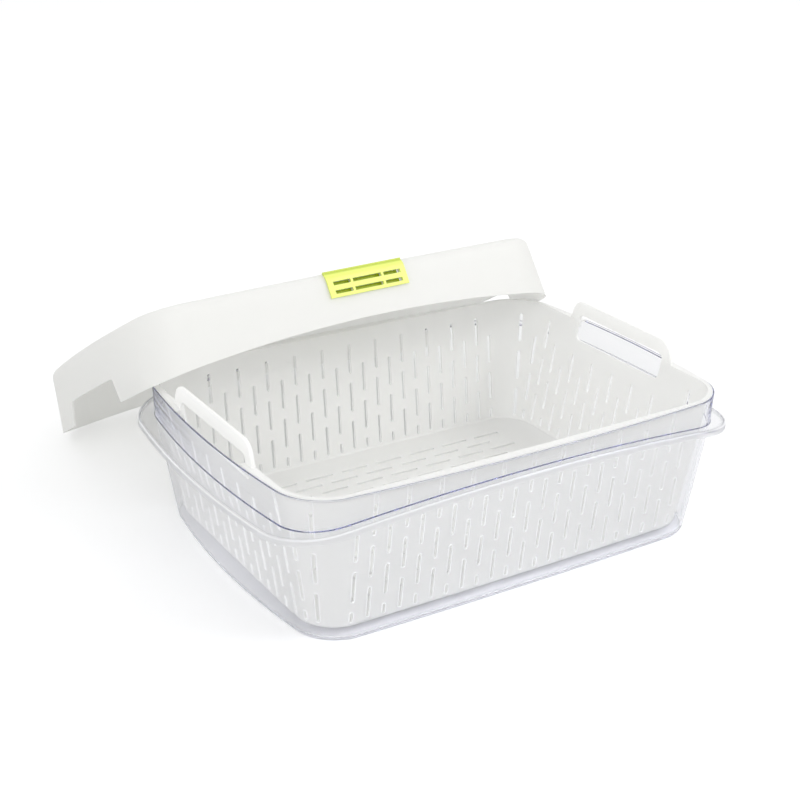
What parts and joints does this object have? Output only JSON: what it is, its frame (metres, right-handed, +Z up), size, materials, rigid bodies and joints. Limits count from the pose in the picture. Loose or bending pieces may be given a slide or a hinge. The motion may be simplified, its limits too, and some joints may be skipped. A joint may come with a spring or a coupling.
{
  "type": "food storage container",
  "caption": "Oblong clear tub with a lift-out slotted basket and a deep cap lid with a sliding vent, stored with the lid leaning on the rim.",
  "frame": {"origin": "centre of the tub's underside, on the table", "axes": "+X along the tub's length, +Y towards the side where the lid leans, +Z up"},
  "size_m": [0.3941, 0.4631, 0.1753],
  "materials": {
    "tub": "clear, polished",
    "basket": "milky translucent, satin",
    "lid": "milky translucent, satin",
    "vent": "lime green, satin"
  },
  "bodies": {
    "tub": {"tub": "tub"},
    "basket": {"basket": "basket"},
    "lid": {"lid": "lid"},
    "vent_slide": {"vent_slide": "vent"}
  },
  "joints": [
    {"name": "basket_lift", "type": "slide", "parent": "tub", "child": "basket", "axis": [0, 0, 1], "range_m": [0, 0.13]},
    {"name": "lid_lift", "type": "slide", "parent": "basket", "child": "lid", "axis": [0, 0, 1], "range_m": [0, 0.14]},
    {"name": "vent_slide", "type": "slide", "parent": "lid", "child": "vent_slide", "axis": [-0.0216, 0.5616, 0.8271], "range_m": [0, 0.0034]}
  ]
}
